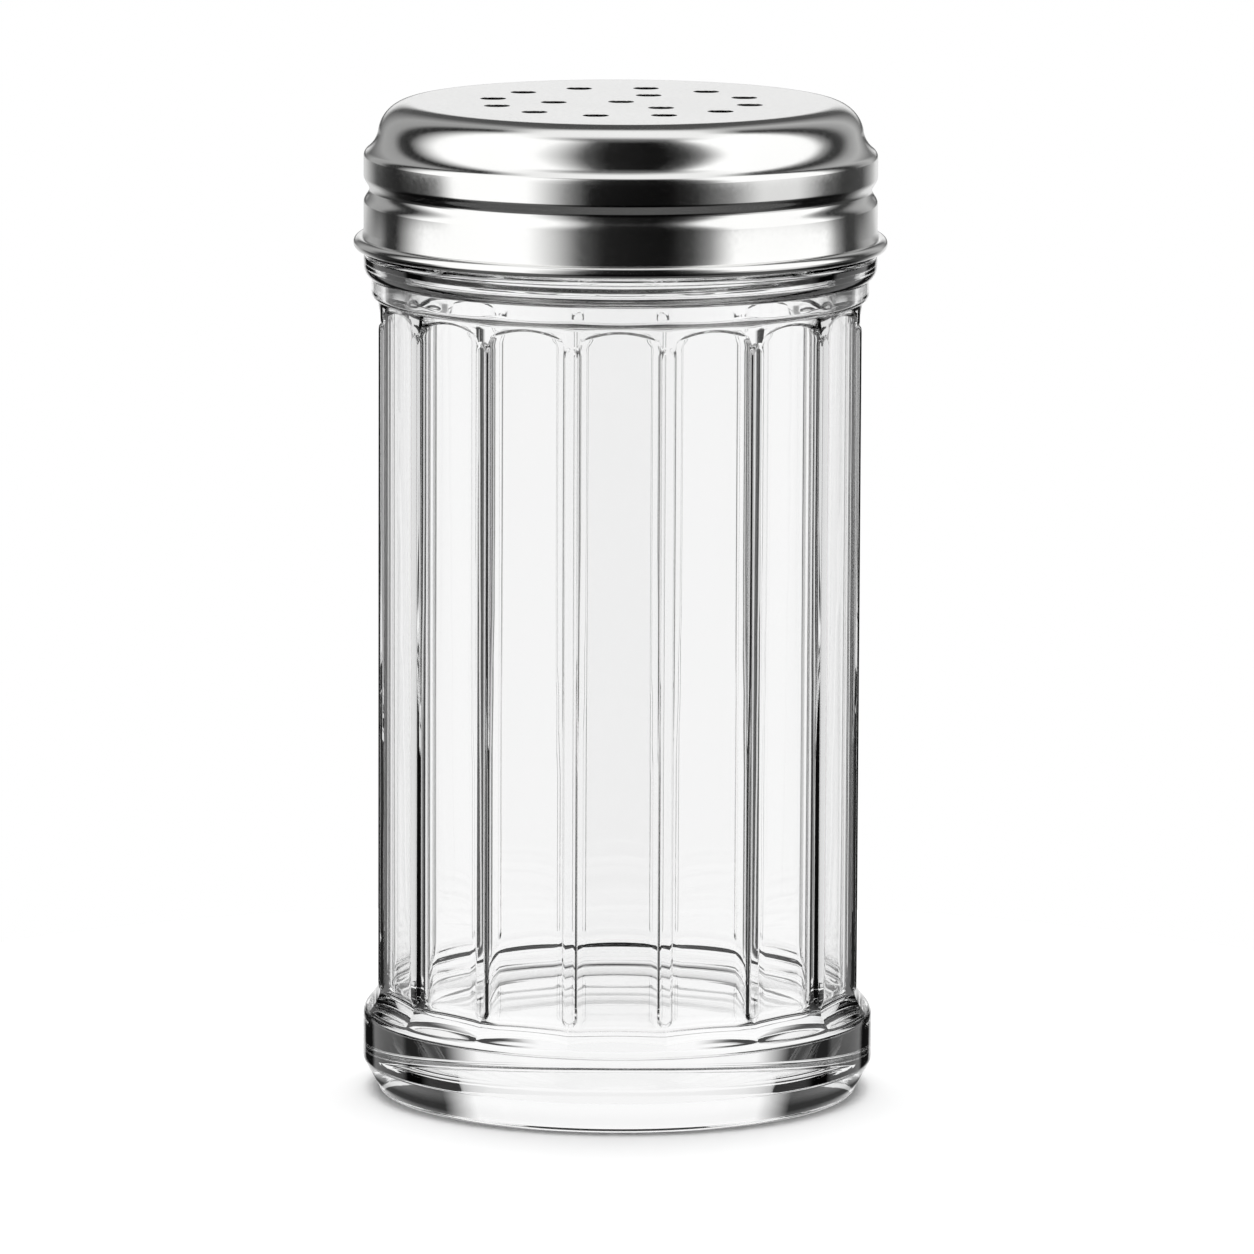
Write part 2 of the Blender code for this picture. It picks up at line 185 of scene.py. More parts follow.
class GlassSettings(bpy.types.PropertyGroup):
    """Sizes and tint of the pressed glass."""

    panels: bpy.props.IntProperty(name="Panels", description="Flat panels around the body", default=16)
    across_flats: length("Across flats", "Width of the body between two opposite panels", 70.4)
    panel_depth: length("Panel depth", "How far the middle of a panel lies below the round body", 0.65)
    body_height: length("Body height", "Height of the panelled body above the base ledge", 104.35)
    arch_rise: length("Arch rise", "Rise of the arch at the top of a panel", 1.4)
    arch_corner: length("Arch corner", "Radius where an arch runs into a rib", 1.6)
    arch_slope: length("Arch slope", "Width of the sloped edge under an arch", 0.45)
    arch_margin: length("Arch margin", "Plain glass between an arch and the step above it", 0.35)
    ledge_round: length("Ledge round", "Softness where a panel runs out into the base ledge", 2.2)
    arch_gap: length("Arch gap", "Distance from the middle of a rib to the foot of an arch", 0.9)
    rib_width: length("Rib width", "Width of the rib between two panels", 2.4)
    rib_flank: length("Rib flank", "Width of the steep side of a rib", 0.4)
    rib_proud: length("Rib height", "How far a rib stands out of the round body", 0.35)
    rib_drop: length("Rib drop", "Distance from the top of the body to the end of a rib", 2.8)
    rib_rise: length("Rib rise", "Distance from the base ledge to the lower end of a rib", 1.4)
    ring_overhang: length("Ring overhang", "How far the base ring stands out of the body", 2.15)
    ring_height: length("Ring height", "Height of the upright face of the base ring", 6.2)
    ring_top_round: length("Ring top round", "Radius at the top of the base ring", 2.3)
    ring_low_round: length("Ring low round", "Radius at the bottom of the base ring", 1.0)
    chamfer_height: length("Chamfer height", "Height of the slope from the base ring to the foot", 4.4)
    foot_inset: length("Foot inset", "How far the foot lies inside the base ring", 2.35)
    foot_height: length("Foot height", "Height of the foot's upright edge", 0.6)
    foot_round: length("Foot round", "Radius at the foot's lower edge", 0.5)
    bearing_width: length("Bearing width", "Width of the flat ring that the jar stands on", 6.0)
    push_up: length("Push-up", "Height of the hollow under the base", 0.6)
    push_up_ramp: length("Push-up ramp", "Width of the slope into the hollow", 1.5)
    wall: length("Wall", "Thickness of the wall behind a panel", 3.5)
    base_thickness: length("Base thickness", "Height of the inner floor", 12.3)
    floor_fillet: length("Floor fillet", "Radius between the inner floor and the wall", 3.0)
    step_overhang: length("Step overhang", "How far the lower step stands out of the body", 1.0)
    step_height: length("Step height", "Height of the lower step", 3.25)
    step_round: length("Step round", "Radius under the lower step", 1.2)
    collar_overhang: length("Collar overhang", "How far the collar stands out of the step", 1.15)
    collar_height: length("Collar height", "Height of the collar", 3.75)
    collar_low_round: length("Collar low round", "Radius under the collar", 2.2)
    collar_top_round: length("Collar top round", "Radius at the top of the collar", 0.6)
    neck_inset: length("Neck inset", "How far the neck lies inside the collar", 3.5)
    neck_wall: length("Neck wall", "Thickness of the neck", 4.5)
    neck_fillet: length("Neck fillet", "Radius between the neck and the collar", 0.8)
    shoulder_rise: length("Shoulder rise", "Height of the small shoulder inside, above the lower step", 1.7)
    shoulder_height: length("Shoulder height", "Height of that shoulder", 0.5)
    shoulder_inset: length("Shoulder inset", "How far that shoulder narrows the inside", 0.35)
    neck_taper: length("Neck taper", "Height above the collar in which the inside narrows", 6.0)
    rim_round: length("Rim round", "Outer radius of the rim", 3.5)
    thread_height: length("Thread height", "How far the thread stands out of the neck", 1.5)
    thread_width: length("Thread width", "Width of the thread at its root", 2.6)
    thread_pitch: length("Thread pitch", "Rise of the thread in one turn", 6.0)
    thread_start: length("Thread start", "Height of the thread's lower end above the collar", 5.0)
    thread_turns: bpy.props.FloatProperty(
        name="Thread turns", description="Turns of the thread", default=1.3
    )
    inner_share: bpy.props.FloatProperty(
        name="Inner share", description="How closely the inside follows the panels", default=1.0
    )
    inner_soft: length("Inner softness", "Softness of the corners between the panels inside the jar", 0.6)
    inner_fade: length("Inner fade", "Height in which the inside turns from panelled to round", 2.4)
    soft_corner: length("Soft corner", "Radius that fire polishing leaves on every other corner", 0.3)
    tint: colour("Tint", "Tint of the clear glass", 0.997, 0.998, 0.998)


class LidSettings(bpy.types.PropertyGroup):
    """Sizes and colour of the drawn steel lid."""

    sheet: length("Sheet", "Thickness of the sheet", 0.4)
    neck_gap: length("Neck gap", "Room between the neck and the inside of the lid", 1.0)
    bead_radius: length("Bead radius", "Radius of the rolled bead at the lower edge", 0.95)
    bead_fillet: length("Bead fillet", "Height of the hollow between the bead and the skirt", 1.1)
    skirt_height: length("Skirt height", "Height of the plain skirt above the bead", 3.9)
    groove_width: length("Groove width", "Width of the groove between the two ridges", 4.0)
    groove_depth: length("Groove depth", "Depth of that groove", 0.85)
    ridge_height: length("Ridge height", "Height of the upright face of the upper ridge", 2.85)
    ridge_round: length("Ridge round", "Radius at the top of the upper ridge", 1.2)
    ridge_turn: angle("Ridge turn", "Angle through which the top of the ridge turns in", 52.0)
    ridge_overhang: length("Ridge overhang", "How far the ridge stands out of the domed part", 2.1)
    shoulder_round: length("Shoulder round", "Outer radius of the shoulder", 4.9)
    shoulder_end: angle("Shoulder end", "Angle short of upright at which the shoulder ends", 6.0)
    sweep_start: angle("Sweep start", "Slope at which the hollow sweep to the ridge starts", 12.0)
    soft_corner: length("Soft corner", "Radius that drawing leaves in every crease", 0.35)
    hole: length("Hole", "Width of a hole through the sheet", 3.8)
    hole_edge: length("Hole edge", "Width of the broken edge of a hole", 0.04)
    inner_ring: length("Inner ring", "Radius of the ring of three holes", 10.0)
    outer_ring: length("Outer ring", "Radius of the ring of twelve holes", 19.3)
    inner_start: angle("Inner start", "Where the ring of three holes starts", 66.0)
    outer_start: angle("Outer start", "Where the ring of twelve holes starts", 19.0)
    steel: colour("Steel", "Colour of the polished steel", 0.86, 0.86, 0.85)


class StageSettings(bpy.types.PropertyGroup):
    """Camera, floor and lights."""

    camera_distance: length("Camera distance", "Distance of the camera in front of the jar's axis", 1550.0)
    camera_height: length("Camera height", "Height of the camera above the floor", 314.2)
    camera_side: length("Camera side", "How far the camera stands to the right of the axis", 1.2)
    camera_pitch: angle("Camera pitch", "Angle by which the camera looks down", 8.9734)
    camera_roll: angle("Camera roll", "Turn of the camera about its line of sight", 0.25)
    focal_length: bpy.props.FloatProperty(
        name="Focal length", description="Focal length on a sensor 36 mm wide", default=302.83
    )
    floor_radius: length("Floor radius", "Radius of the round white floor", 150.0)
    floor_gap: length("Floor gap", "Air between the foot and the floor", 0.1)
    tent_radius: length("Tent radius", "Radius of the light tent", 4000.0)
    lamp_height: length("Lamp height", "Height of the lamp above the floor", 1500.0)
    lamp_back: length("Lamp back", "How far the lamp hangs behind the jar's axis", 250.0)
    lamp_size: length("Lamp size", "Width of the square lamp", 1600.0)
    lamp_power: bpy.props.FloatProperty(
        name="Lamp power", description="Power of the lamp", default=40.0, unit="POWER"
    )
    world_level: bpy.props.FloatProperty(
        name="World level", description="Strength of the white world's light on the floor", default=0.3
    )


def rows(start, end, spacing):
    """Evenly spaced values from start to end, both included."""
    steps = max(1, round(abs(end - start) / spacing))
    return [start + (end - start) * step / steps for step in range(steps + 1)]


def arc(across, up, radius, start, end, steps):
    """Points of an arc in a section, as (distance from the axis, height)."""
    turns = [start + (end - start) * step / steps for step in range(steps + 1)]
    return [(across + radius * math.cos(turn), up + radius * math.sin(turn)) for turn in turns]


def round_under(inner, outer, bottom, radius, steps):
    """A rounded lower edge, from its outer side in to the smaller radius that it overhangs."""
    turn = math.acos(max(0.0, min(1.0, (inner - outer + radius) / radius)))
    return arc(outer - radius, bottom + radius * math.sin(turn), radius, 0.0, -turn, steps)


def soften(points, radius, steps=4, sharp=math.radians(20)):
    """Rounds the sharp corners of a section, as far as the runs beside them leave room."""
    result = [points[0]]
    for before, corner, after in zip(points, points[1:], points[2:]):
        here = Vector(corner)
        back = Vector(before) - here
        ahead = Vector(after) - here
        if min(back.length, ahead.length) == 0:
            continue
        turn = math.pi - back.angle(ahead)
        if turn < sharp:
            result.append(corner)
            continue
        reach = min(radius * math.tan(turn / 2), 0.45 * back.length, 0.45 * ahead.length)
        start = here + back.normalized() * reach
        end = here + ahead.normalized() * reach
        for step in range(steps + 1):
            share = step / steps
            point = start.lerp(here, share).lerp(here.lerp(end, share), share)
            result.append((point.x, point.y))
    return result + [points[-1]]


def smooth_step(value):
    """Rises smoothly from 0 to 1 as the value does."""
    value = max(0.0, min(1.0, value))
    return value * value * (3 - 2 * value)


def soft_max(first, second, softness):
    """The larger of two values, with a rounded change from one to the other."""
    overlap = max(softness - abs(first - second), 0.0) / softness
    return max(first, second) + overlap * overlap * softness / 4


def draw_section(name, points):
    """A new object with one line of edges in the XZ plane, drawn by extruding a single point."""
    bpy.ops.object.select_all(action="DESELECT")
    bpy.ops.mesh.primitive_plane_add(size=MM, location=(0.0, 0.0, 0.0))
    obj = bpy.context.object
    obj.name = name
    obj.data.name = name
    bpy.ops.object.mode_set(mode="EDIT")
    bpy.ops.mesh.merge(type="CENTER")
    bpy.ops.transform.translate(value=(points[0][0], 0.0, points[0][1]))
    for start, end in zip(points, points[1:]):
        move = (end[0] - start[0], 0.0, end[1] - start[1])
        bpy.ops.mesh.extrude_region_move(TRANSFORM_OT_translate={"value": move})
    bpy.ops.mesh.select_all(action="SELECT")
    return obj


def spin(steps, turn, copies=False):
    """Spins what is selected in edit mode about the jar's axis."""
    bpy.ops.mesh.spin(steps=steps, angle=turn, dupli=copies, center=(0.0, 0.0, 0.0), axis=(0.0, 0.0, 1.0))


def close_mesh():
    """Merges the seams and poles of the mesh in edit mode, and turns its faces outwards."""
    bpy.ops.mesh.select_all(action="SELECT")
    bpy.ops.mesh.remove_doubles(threshold=MERGE)
    bpy.ops.mesh.normals_make_consistent(inside=False)
    bpy.ops.object.mode_set(mode="OBJECT")


def finish_piece(obj, material, node, body, crease=math.radians(40)):
    """Shades a piece, gives it its material and puts it in the place of its CAD node."""
    bpy.ops.object.select_all(action="DESELECT")
    obj.select_set(True)
    bpy.context.view_layer.objects.active = obj
    bpy.ops.object.shade_smooth_by_angle(angle=crease)
    obj.data.materials.clear()
    obj.data.materials.append(material)
    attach(obj, body)
    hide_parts(node)


def glass_lines(size):
    """Radii and heights of the glass, stacked as its mould has them, from the foot to the rim."""
    flat = size.across_flats / 2
    land = flat + size.panel_depth
    ring = land + size.ring_overhang
    step = land + size.step_overhang
    collar = step + size.collar_overhang
    neck = collar - size.neck_inset
    ring_bottom = JAR_LOW.z + size.foot_height + size.chamfer_height
    ring_top = ring_bottom + size.ring_height
    slope = math.radians(45)
    ledge_run = size.ring_overhang - size.ring_top_round * (1 - math.cos(slope))
    ledge_top = ring_top + size.ring_top_round * math.sin(slope) + ledge_run
    body_top = ledge_top + size.body_height
    step_top = body_top + size.step_height
    collar_top = step_top + size.collar_height
    return SimpleNamespace(
        flat=flat, land=land, ring=ring, foot=ring - size.foot_inset, step=step, collar=collar, neck=neck,
        cavity=flat - size.wall, mouth=neck - size.neck_wall, ring_bottom=ring_bottom, ring_top=ring_top,
        slope=slope, ledge_top=ledge_top, body_top=body_top, step_top=step_top, collar_top=collar_top,
        rim=JAR_HIGH.z,
    )


def glass_section(size, at):
    """The glass in section: up the inside from the floor, over the rim and down the outside."""
    inner_round = size.neck_wall - size.rim_round
    chamfer_turn = math.atan2(size.foot_inset, size.chamfer_height)
    bearing_inner = at.foot - size.foot_round - size.bearing_width
    arch_top = at.body_top - size.arch_margin

    inside = [(0.0, size.base_thickness), (at.cavity / 2, size.base_thickness)]
    inside += arc(at.cavity - size.floor_fillet, size.base_thickness + size.floor_fillet, size.floor_fillet,
                  -RIGHT_ANGLE, 0.0, 10)
    fade_rows = rows(at.body_top - size.inner_fade / 2, at.body_top + size.inner_fade / 2, SOFT_ROWS)
    shoulder = at.step_top + size.shoulder_rise
    inside += [(at.cavity, height) for height in (*fade_rows, shoulder)]
    inside += [(at.cavity - size.shoulder_inset, shoulder + size.shoulder_height)]
    inside += [(at.mouth, at.collar_top + size.neck_taper)]
    rim = arc(at.mouth + inner_round, at.rim - inner_round, inner_round, math.pi, RIGHT_ANGLE, 5)
    rim += arc(at.neck - size.rim_round, at.rim - size.rim_round, size.rim_round, RIGHT_ANGLE, 0.0, 10)[1:]
    thread_zone = rows(at.rim - size.rim_round, at.collar_top + size.neck_fillet, THREAD_ROWS)[1:-1]
    neck = [(at.neck, height) for height in thread_zone]
    neck += arc(at.neck + size.neck_fillet, at.collar_top + size.neck_fillet, size.neck_fillet,
                math.pi, 3 * RIGHT_ANGLE, 5)
    collars = arc(at.collar - size.collar_top_round, at.collar_top - size.collar_top_round,
                  size.collar_top_round, RIGHT_ANGLE, 0.0, 5)
    collars += round_under(at.step, at.collar, at.step_top, size.collar_low_round, 8)
    collars += round_under(at.land, at.step, at.body_top, size.step_round, 6)
    zones = (
        (arch_top, MARGIN_ROWS), (arch_top - ARCH_EDGE, ARCH_ROWS), (arch_top - ARCH_CORNERS, CORNER_ROWS),
        (arch_top - ARCH_REACH, RIB_ROWS), (at.ledge_top + FOOT_REACH, PLAIN_ROWS),
        (at.ledge_top, SOFT_ROWS),
    )
    heights = [at.body_top]
    for end, spacing in zones:
        heights += rows(heights[-1], end, spacing)[1:]
    body = [(at.land, height) for height in heights[1:]]
    base = arc(at.ring - size.ring_top_round, at.ring_top, size.ring_top_round, at.slope, 0.0, 8)
    ledge_rows = rows(at.ledge_top, base[0][1], SOFT_ROWS)[1:-1]
    base = [(at.land + at.ledge_top - height, height) for height in ledge_rows] + base
    base += arc(at.ring - size.ring_low_round, at.ring_bottom, size.ring_low_round, 0.0, -chamfer_turn, 5)
    base += [(at.foot, JAR_LOW.z + size.foot_height)]
    base += arc(at.foot - size.foot_round, JAR_LOW.z + size.foot_round, size.foot_round,
                0.0, -RIGHT_ANGLE, 5)
    base += [(bearing_inner, JAR_LOW.z), (bearing_inner - size.push_up_ramp, JAR_LOW.z + size.push_up),
             (0.0, JAR_LOW.z + size.push_up)]
    return soften(inside + rim + neck + collars + body + base, size.soft_corner)


def arch_drop(across, half_width, size):
    """How far the arch of a panel lies below its crown, at a distance from the panel's middle."""
    share = min(abs(across) / half_width, 1.0)
    return size.arch_rise * share * share


def pressed_radius(turn, height, turned, size, at):
    """Radius of the panelled body at an angle from a panel's middle and at a height."""
    pitch = math.pi * at.land / size.panels
    across = at.land * abs(turn)
    half_width = pitch - size.arch_gap
    flat = at.flat / math.cos(turn)

    side = half_width - across
    under_arch = at.body_top - size.arch_margin - arch_drop(across, half_width, size) - height
    inside = min(side, under_arch)
    if side < size.arch_corner and under_arch < size.arch_corner:
        inside = size.arch_corner - math.hypot(size.arch_corner - side, size.arch_corner - under_arch)
    sunk = smooth_step(inside / size.arch_slope)
    wall = turned + (flat - turned) * sunk
    middle = at.ledge_top + size.body_height / 2
    if height < middle:
        ledge = min(at.land + at.ledge_top - height, turned)
        wall = soft_max(flat, ledge, size.ledge_round)

    from_end = min(at.body_top - size.rib_drop - height, height - at.ledge_top - size.rib_rise)
    half_rib = size.rib_width / 2
    beside = half_rib - math.hypot(pitch - across, max(half_rib - from_end, 0.0))
    raised = smooth_step(beside / size.rib_flank)
    return wall + max(at.land + size.rib_proud - wall, 0.0) * raised


def inner_radius(turn, height, size, at):
    """Radius inside the jar, where the wall follows the panels, with softer corners, up to the collars."""
    sector = FULL_TURN / size.panels
    near = at.cavity / math.cos(turn)
    far = at.cavity / math.cos(sector - abs(turn))
    panelled = -soft_max(-near, -far, size.inner_soft)
    below_collars = smooth_step((at.body_top - height) / size.inner_fade + 0.5)
    return at.cavity + (panelled - at.cavity) * size.inner_share * below_collars


def thread_rise(turn, height, size, at):
    """How far the screw thread stands out of the neck at an angle and a height."""
    rise = 0.0
    whole = size.thread_turns * FULL_TURN
    for lap in range(math.ceil(size.thread_turns)):
        along = turn % FULL_TURN + lap * FULL_TURN
        centre = at.collar_top + size.thread_start + size.thread_pitch * along / FULL_TURN
        away = abs(height - centre) / (size.thread_width / 2)
        if along < whole and away < 1:
            ends = smooth_step(along / THREAD_FADE) * smooth_step((whole - along) / THREAD_FADE)
            rise = max(rise, size.thread_height * ends * math.cos(away * RIGHT_ANGLE) ** THREAD_SHARPNESS)
    return rise


def press_glass(obj, size, at):
    """Presses the panels, ribs and thread into the turned glass."""
    sector = FULL_TURN / size.panels
    arch_crown = at.body_top - size.arch_margin
    arch_foot = arch_crown - ARCH_REACH
    half_width = math.pi * at.land / size.panels - size.arch_gap
    for vert in obj.data.vertices:
        radius = math.hypot(vert.co.x, vert.co.y)
        turn = math.atan2(vert.co.y, vert.co.x)
        height = vert.co.z
        from_middle = (turn + sector / 2) % sector - sector / 2
        if radius < at.cavity + NEAR and size.base_thickness - NEAR < height < at.step_top:
            pressed = inner_radius(from_middle, height, size, at) * radius / at.cavity
        elif radius > at.cavity + MM and at.ring_top < height < at.body_top + 2 * NEAR:
            if height > arch_crown:
                follow = (at.body_top - height) / size.arch_margin
            else:
                follow = smooth_step((height - arch_foot) / ARCH_FADE)
            height -= arch_drop(at.land * from_middle, half_width, size) * max(follow, 0.0)
            pressed = pressed_radius(from_middle, height, radius, size, at)
        elif abs(radius - at.neck) < NEAR and height > at.collar_top:
            pressed = radius + thread_rise(turn, height, size, at)
        else:
            continue
        vert.co = (pressed * math.cos(turn), pressed * math.sin(turn), height)
    obj.data.update()


def lid_outside(size, dome, ridge):
    """The lid's outer face in section, from the edge of its flat top down to the bead."""
    top = LID_HIGH.z
    flat_edge = dome - size.shoulder_round
    line = [(flat_edge - inset, top) for inset in TOP_RINGS]
    line += arc(flat_edge, top - size.shoulder_round, size.shoulder_round,
                RIGHT_ANGLE, size.shoulder_end, 20)
    sweep_end = ridge - size.ridge_round * (1 - math.cos(size.ridge_turn))
    sweep = (sweep_end - line[-1][0]) / (math.cos(size.sweep_start) - math.cos(size.ridge_turn))
    sweep_across = line[-1][0] + sweep * math.cos(size.sweep_start)
    sweep_up = line[-1][1] + sweep * math.sin(size.sweep_start)
    line += arc(sweep_across, sweep_up, sweep,
                math.pi + size.sweep_start, math.pi + size.ridge_turn, 14)[1:]
    ridge_top = line[-1][1] - size.ridge_round * math.sin(size.ridge_turn)
    line += arc(ridge - size.ridge_round, ridge_top, size.ridge_round, size.ridge_turn, 0.0, 14)[1:]
    groove_top = ridge_top - size.ridge_height
    skirt_bottom = groove_top - size.groove_width - size.skirt_height
    groove_steps = 28
    for step in range(groove_steps + 1):
        share = step / groove_steps
        depth = size.groove_depth * (1 - math.cos(FULL_TURN * share)) / 2
        line.append((ridge - depth, groove_top - size.groove_width * share))
    line.append((ridge, skirt_bottom))
    return soften(line, size.soft_corner)


def sheet_inside(line, sheet):
    """The inner face of the sheet: the same line moved in by its thickness, square to its run."""
    moved = []
    for index, point in enumerate(line):
        before = Vector(line[max(index - 1, 0)])
        after = Vector(line[min(index + 1, len(line) - 1)])
        along = (after - before).normalized()
        moved.append((point[0] + along.y * sheet, point[1] - along.x * sheet))
    return moved


def lid_section(size):
    """The lid in section: down the outside, round the rolled bead and up the inside."""
    glass = bpy.context.scene.spice_jar_glass
    dome = glass_lines(glass).neck + size.neck_gap + size.sheet
    ridge = dome + size.ridge_overhang
    outside = lid_outside(size, dome, ridge)
    bead_centre = ridge - size.sheet + size.bead_radius
    bead_height = outside[-1][1] - size.bead_fillet - size.bead_radius
    bead = arc(bead_centre, bead_height, size.bead_radius, BEAD_START, -math.pi, 24)
    return soften(outside + bead, size.soft_corner) + sheet_inside(outside, size.sheet)[::-1]


def hole_places(size):
    """Centres of the holes: one in the middle and two rings around it."""
    places = [(0.0, 0.0)]
    rings = (
        (INNER_HOLES, size.inner_ring, size.inner_start), (OUTER_HOLES, size.outer_ring, size.outer_start),
    )
    for count, ring, start in rings:
        for index in range(count):
            turn = start + FULL_TURN * index / count
            places.append((ring * math.cos(turn), ring * math.sin(turn)))
    return places


def make_punch(size, top):
    """One flared punch for each hole, all in one object: wide at the lid's face and narrow below it."""
    radius = size.hole / 2
    section = [(0.0, top + MM), (radius + size.hole_edge + MM, top + MM), (radius, top - size.hole_edge)]
    section += [(radius, top - PUNCH_DEPTH), (0.0, top - PUNCH_DEPTH)]
    punch = draw_section("hole_punch", section)
    spin(HOLE_COLUMNS, FULL_TURN)
    close_mesh()
    copies = []
    for across, along in hole_places(size):
        bpy.ops.object.select_all(action="DESELECT")
        punch.select_set(True)
        bpy.context.view_layer.objects.active = punch
        bpy.ops.object.duplicate()
        bpy.ops.transform.translate(value=(across, along, 0.0))
        copies.append(bpy.context.object)
    bpy.data.objects.remove(punch)
    for copy in copies:
        copy.select_set(True)
    bpy.context.view_layer.objects.active = copies[0]
    bpy.ops.object.join()
    bpy.ops.object.transform_apply(location=True, rotation=True, scale=True)
    return copies[0]


def punch_holes(lid, size):
    """Cuts the holes through the flat top of the lid."""
    punch = make_punch(size, LID_HIGH.z)
    bpy.ops.object.select_all(action="DESELECT")
    bpy.context.view_layer.objects.active = lid
    lid.select_set(True)
    cut = lid.modifiers.new("Holes", "BOOLEAN")
    cut.operation = "DIFFERENCE"
    cut.solver = "EXACT"
    cut.object = punch
    bpy.ops.object.modifier_apply(modifier=cut.name)
    bpy.data.objects.remove(punch)


def noise(nodes, scale, detail):
    """A noise texture at a scale per metre."""
    node = nodes.new("ShaderNodeTexNoise")
    node.inputs["Scale"].default_value = scale
    node.inputs["Detail"].default_value = detail
    return node


def surface_play():
    """Node group: the slow swell and the fine grain that a pressed or drawn surface keeps."""
    group = bpy.data.node_groups.new("surface_play", "ShaderNodeTree")
    group.interface.new_socket("Vector", in_out="INPUT", socket_type="NodeSocketVector")
    swell_scale = group.interface.new_socket("Swell Scale", in_out="INPUT", socket_type="NodeSocketFloat")
    grain_scale = group.interface.new_socket("Grain Scale", in_out="INPUT", socket_type="NodeSocketFloat")
    swell_scale.default_value = 60.0
    grain_scale.default_value = 900.0
    group.interface.new_socket("Swell", in_out="OUTPUT", socket_type="NodeSocketFloat")
    group.interface.new_socket("Grain", in_out="OUTPUT", socket_type="NodeSocketFloat")
    nodes, links = group.nodes, group.links
    given = nodes.new("NodeGroupInput")
    result = nodes.new("NodeGroupOutput")
    for name, detail in (("Swell", 1.0), ("Grain", 3.0)):
        texture = noise(nodes, 1.0, detail)
        links.new(given.outputs["Vector"], texture.inputs["Vector"])
        links.new(given.outputs[f"{name} Scale"], texture.inputs["Scale"])
        links.new(texture.outputs["Fac"], result.inputs[name])
    return group


def new_material(name):
    """A material with its Principled shader, its nodes and its links."""
    material = bpy.data.materials.new(name)
    material.use_nodes = True
    tree = material.node_tree
    return material, tree.nodes["Principled BSDF"], tree.nodes, tree.links


def add_play(nodes, links, swell_scale, grain_scale):
    """Places the shared surface group on the piece's own coordinates."""
    place = nodes.new("ShaderNodeTexCoord")
    play = nodes.new("ShaderNodeGroup")
    play.node_tree = bpy.data.node_groups.get("surface_play") or surface_play()
    play.inputs["Swell Scale"].default_value = swell_scale
    play.inputs["Grain Scale"].default_value = grain_scale
    links.new(place.outputs["Object"], play.inputs["Vector"])
    return play


def ramp(nodes, links, value, low, high, start=0.35, end=0.65):
    """A colour that runs from low to high with a value."""
    node = nodes.new("ShaderNodeValToRGB")
    node.color_ramp.elements[0].position = start
    node.color_ramp.elements[0].color = (*low, 1.0)
    node.color_ramp.elements[1].position = end
    node.color_ramp.elements[1].color = (*high, 1.0)
    links.new(value, node.inputs["Fac"])
    return node.outputs["Color"]


def spread(nodes, links, value, low, high, start=0.3, end=0.7):
    """A number that runs from low to high while a value runs from start to end."""
    node = nodes.new("ShaderNodeMapRange")
    node.inputs["From Min"].default_value = start
    node.inputs["From Max"].default_value = end
    node.inputs["To Min"].default_value = low
    node.inputs["To Max"].default_value = high
    links.new(value, node.inputs["Value"])
    return node.outputs["Result"]


def add_bump(nodes, links, shader, height, strength, depth):
    """Lets a height roughen the shader's normal."""
    bump = nodes.new("ShaderNodeBump")
    bump.inputs["Strength"].default_value = strength
    bump.inputs["Distance"].default_value = depth
    links.new(height, bump.inputs["Height"])
    links.new(bump.outputs["Normal"], shader.inputs["Normal"])


def measure(nodes, links, operation, first, second):
    """A number worked out from two others, each a socket or a plain value."""
    node = nodes.new("ShaderNodeMath")
    node.operation = operation
    for socket, value in zip(node.inputs, (first, second)):
        if isinstance(value, (int, float)):
            socket.default_value = value
        else:
            links.new(value, socket)
    return node.outputs["Value"]


def blend(nodes, links, share, first, second):
    """Mixes two numbers by a share, each a socket or a plain value."""
    node = nodes.new("ShaderNodeMix")
    for name, value in (("Factor", share), ("A", first), ("B", second)):
        if isinstance(value, (int, float)):
            node.inputs[name].default_value = value
        else:
            links.new(value, node.inputs[name])
    return node.outputs["Result"]


def clear_glass(tint):
    """Clear pressed glass: a faint tint and the slow waves of a surface that froze in its mould."""
    material, shader, nodes, links = new_material("clear_glass")
    shader.inputs["Roughness"].default_value = 0.0
    shader.inputs["IOR"].default_value = 1.52
    shader.inputs["Transmission Weight"].default_value = 1.0
    play = add_play(nodes, links, swell_scale=70.0, grain_scale=500.0)
    pale = [min(1.0, channel * 1.008) for channel in tint]
    links.new(ramp(nodes, links, play.outputs["Swell"], tint, pale), shader.inputs["Base Color"])
    add_bump(nodes, links, shader, play.outputs["Swell"], strength=0.3, depth=0.05 * MM)
    return material


